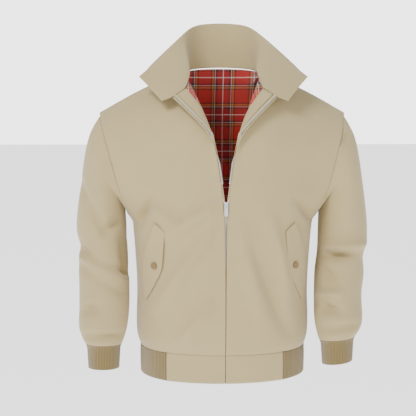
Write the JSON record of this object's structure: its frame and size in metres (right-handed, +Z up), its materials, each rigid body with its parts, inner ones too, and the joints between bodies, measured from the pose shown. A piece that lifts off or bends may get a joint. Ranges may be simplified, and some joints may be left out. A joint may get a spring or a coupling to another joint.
{
  "type": "harrington jacket",
  "caption": "Khaki harrington jacket in worn form, collar open, zip half down, red tartan lining, ribbed cuffs and waistband.",
  "frame": {"origin": "between the shoulders at the base of the neck, where the wearer carries the jacket", "axes": "+Z up, -Y towards the front, +X towards the wearer's left"},
  "size_m": [0.6183, 0.2744, 0.7385],
  "materials": {
    "khaki_cotton": "matt cotton twill",
    "rib_knit": "ribbed knit",
    "tartan_lining": "woven check",
    "zip_tape": "woven tape with metal teeth",
    "zip_metal": "bright plated",
    "button": "satin"
  },
  "bodies": {
    "jacket": {"back": "khaki_cotton", "collar": "khaki_cotton", "cuff_left": "rib_knit", "cuff_right": "rib_knit", "facing_left": "khaki_cotton", "facing_right": "khaki_cotton", "front_left": "khaki_cotton", "front_right": "khaki_cotton", "lining_back": "tartan_lining", "lining_front_left": "tartan_lining", "lining_front_right": "tartan_lining", "pocket_button_left": "button", "pocket_button_right": "button", "pocket_flap_left": "khaki_cotton", "pocket_flap_right": "khaki_cotton", "sleeve_left": "khaki_cotton", "sleeve_right": "khaki_cotton", "waistband_front_left": "khaki_cotton", "waistband_front_right": "khaki_cotton", "waistband_rib": "rib_knit", "zip_slider": "zip_metal", "zip_tape_left": "zip_tape", "zip_tape_right": "zip_tape"},
    "pull": {"zip_pull": "zip_metal"}
  },
  "joints": [
    {"name": "pull_swing", "type": "hinge", "parent": "jacket", "child": "pull", "pos_m": [0, -0.1404, -0.2405], "axis": [1, 0, 0], "range_deg": [-90, 0]}
  ]
}
